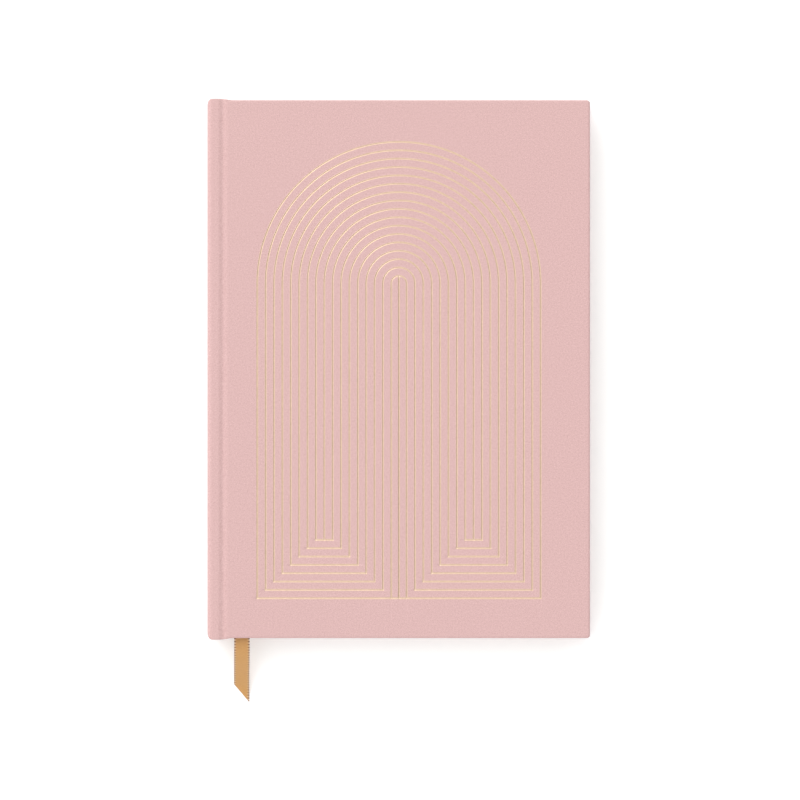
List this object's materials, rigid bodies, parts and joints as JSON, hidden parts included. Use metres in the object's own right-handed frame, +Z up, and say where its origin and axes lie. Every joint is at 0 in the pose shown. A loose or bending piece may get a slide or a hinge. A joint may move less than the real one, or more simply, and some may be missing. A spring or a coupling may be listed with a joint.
{
  "type": "wedding guest book",
  "caption": "Case-bound wedding guest book in rose cloth with a gold stamped arch pattern, sewn page sections and a satin ribbon marker, closed.",
  "frame": {"origin": "middle of the closed book's outline, on the table that the back cover lies on", "axes": "+X from the spine to the fore edge, +Y from the tail to the head, +Z up through the front cover"},
  "size_m": [0.1842, 0.2915, 0.0254],
  "materials": {
    "rose_cloth": "fine woven book cloth, matt, dusty rose",
    "greyboard": "bare grey bookbinding board",
    "ivory_paper": "uncoated ivory paper",
    "mull": "open cotton gauze",
    "linen_thread": "waxed linen thread",
    "band_cord": "two-colour wrapped thread over a cord core",
    "gold_satin": "satin ribbon with picot edges",
    "gold_foil": "satin gold stamping foil"
  },
  "bodies": {
    "core": {"section_2": "ivory_paper", "section_3": "ivory_paper", "section_4": "ivory_paper", "section_5": "ivory_paper", "section_6": "ivory_paper", "section_7": "ivory_paper", "spine_cloth": "rose_cloth", "spine_card": "greyboard", "spine_lining": "ivory_paper", "mull": "mull", "head_band": "band_cord", "tail_band": "band_cord", "sewing_thread_1": "linen_thread", "sewing_thread_2": "linen_thread", "sewing_thread_3": "linen_thread", "sewing_thread_4": "linen_thread", "sewing_thread_5": "linen_thread", "ribbon_marker": "gold_satin"},
    "front_pages": {"section_1": "ivory_paper"},
    "front_flyleaf": {"front_flyleaf": "ivory_paper"},
    "front_cover": {"front_cloth": "rose_cloth", "front_board": "greyboard", "front_pastedown": "ivory_paper"},
    "back_pages": {"section_8": "ivory_paper"},
    "back_flyleaf": {"back_flyleaf": "ivory_paper"},
    "back_cover": {"back_cloth": "rose_cloth", "back_board": "greyboard", "back_pastedown": "ivory_paper"},
    "ribbon_tail": {"ribbon_tail": "gold_satin"}
  },
  "joints": [
    {"name": "front_cover_hinge", "type": "hinge", "parent": "front_pages", "child": "front_cover", "pos_m": [-0.09235, 0, 0.02152], "axis": [0, -1, 0], "range_deg": [0, 179.9], "deforming": ["spine_cloth", "spine_card", "spine_lining", "mull", "head_band", "tail_band", "sewing_thread_1", "sewing_thread_2", "sewing_thread_3", "sewing_thread_4", "sewing_thread_5"]},
    {"name": "back_cover_hinge", "type": "hinge", "parent": "back_pages", "child": "back_cover", "pos_m": [-0.09235, 0, 0.00387], "axis": [0, 1, 0], "range_deg": [0, 179.9], "deforming": ["spine_cloth", "spine_card", "spine_lining", "mull", "head_band", "tail_band", "sewing_thread_1", "sewing_thread_2", "sewing_thread_3", "sewing_thread_4", "sewing_thread_5"]},
    {"name": "front_section_turn", "type": "hinge", "parent": "core", "child": "front_pages", "pos_m": [-0.09235, 0, 0.01909], "axis": [0, 1, 0], "range_deg": [-179.9, 0], "deforming": ["spine_cloth", "spine_card", "spine_lining", "mull", "head_band", "tail_band", "sewing_thread_1", "sewing_thread_2", "sewing_thread_3", "sewing_thread_4", "sewing_thread_5"]},
    {"name": "back_section_turn", "type": "hinge", "parent": "core", "child": "back_pages", "pos_m": [-0.09235, 0, 0.00631], "axis": [0, -1, 0], "range_deg": [-179.9, 0], "deforming": ["spine_cloth", "spine_card", "spine_lining", "mull", "head_band", "tail_band", "sewing_thread_1", "sewing_thread_2", "sewing_thread_3", "sewing_thread_4", "sewing_thread_5"]},
    {"name": "front_flyleaf_lift", "type": "hinge", "parent": "front_pages", "child": "front_flyleaf", "pos_m": [-0.09235, 0, 0.02102], "axis": [0, -1, 0], "range_deg": [0, 30]},
    {"name": "back_flyleaf_lift", "type": "hinge", "parent": "back_pages", "child": "back_flyleaf", "pos_m": [-0.09235, 0, 0.00438], "axis": [0, 1, 0], "range_deg": [0, 30]},
    {"name": "ribbon_tail_lift", "type": "hinge", "parent": "core", "child": "ribbon_tail", "pos_m": [-0.0756, -0.12995, 0.01852], "axis": [-1, 0, 0], "range_deg": [0, 60]}
  ],
  "couplings": [
    {"joint": "front_flyleaf_lift", "follows": "front_cover_hinge", "ratio": 0.1666},
    {"joint": "back_flyleaf_lift", "follows": "back_cover_hinge", "ratio": 0.1666}
  ]
}
